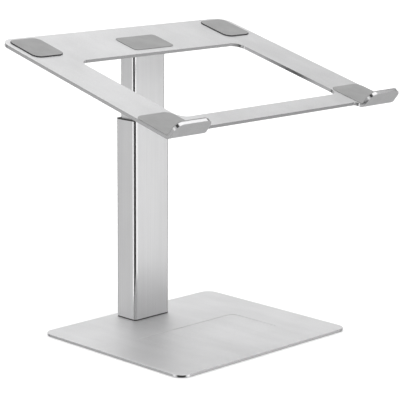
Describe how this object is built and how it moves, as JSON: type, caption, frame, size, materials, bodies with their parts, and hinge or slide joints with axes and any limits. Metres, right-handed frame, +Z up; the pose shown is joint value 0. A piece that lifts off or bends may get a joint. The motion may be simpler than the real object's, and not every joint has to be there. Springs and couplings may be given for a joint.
{
  "type": "laptop stand",
  "caption": "Laptop stand: flat base, telescopic rectangular column and tilting open-frame platform with upturned front lips and rubber pads.",
  "frame": {"origin": "centre of the base's underside, on the desk", "axes": "+Z up, +X to the user's right along the platform's long side, -Y towards the user, so the platform's upturned lips are on the -Y side"},
  "size_m": [0.306, 0.249, 0.2972],
  "materials": {
    "anodised_base": "bead-blasted and silver anodised",
    "anodised_tube": "extruded, fine lengthwise brushing, silver anodised",
    "anodised_plate": "bead-blasted and silver anodised, machined edges",
    "cast_block": "machined, not anodised",
    "grey_rubber": "matt silicone rubber",
    "black_rubber": "matt",
    "black_plastic": "matt acetal",
    "grey_plastic": "matt nylon",
    "black_steel": "semi-gloss black paint",
    "chromed_rod": "hard chromed and ground",
    "zinc_steel": "bright zinc plated",
    "steel_bracket": "satin nickel plated",
    "bronze_bush": "sintered bronze"
  },
  "bodies": {
    "base": {"base_plate": "anodised_base", "base_feet": "black_rubber", "base_screws": "zinc_steel", "foot_block": "cast_block", "outer_tube": "anodised_tube", "tube_screws": "zinc_steel", "top_collar": "black_plastic", "strut_cylinder": "black_steel", "strut_gland": "grey_plastic"},
    "lift": {"inner_tube": "anodised_tube", "lower_glide": "black_plastic", "hinge_block": "cast_block", "block_screws": "zinc_steel", "hinge_bushes": "bronze_bush", "strut_rod": "chromed_rod", "strut_piston": "grey_plastic"},
    "tilt": {"hinge_pin": "zinc_steel", "friction_washers": "bronze_bush", "spring_washers": "zinc_steel", "hinge_nut": "zinc_steel", "tilt_bracket": "steel_bracket", "bracket_screws": "zinc_steel", "platform_frame": "anodised_plate", "rear_left_pad": "grey_rubber", "rear_centre_pad": "grey_rubber", "rear_right_pad": "grey_rubber", "front_left_pad": "grey_rubber", "front_right_pad": "grey_rubber"}
  },
  "joints": [
    {"name": "column_slide", "type": "slide", "parent": "base", "child": "lift", "axis": [0, 0, 1], "range_m": [-0.058, 0.062]},
    {"name": "platform_tilt", "type": "hinge", "parent": "lift", "child": "tilt", "pos_m": [0, 0.07875, 0.27669], "axis": [1, 0, 0], "range_deg": [-15, 15]}
  ]
}
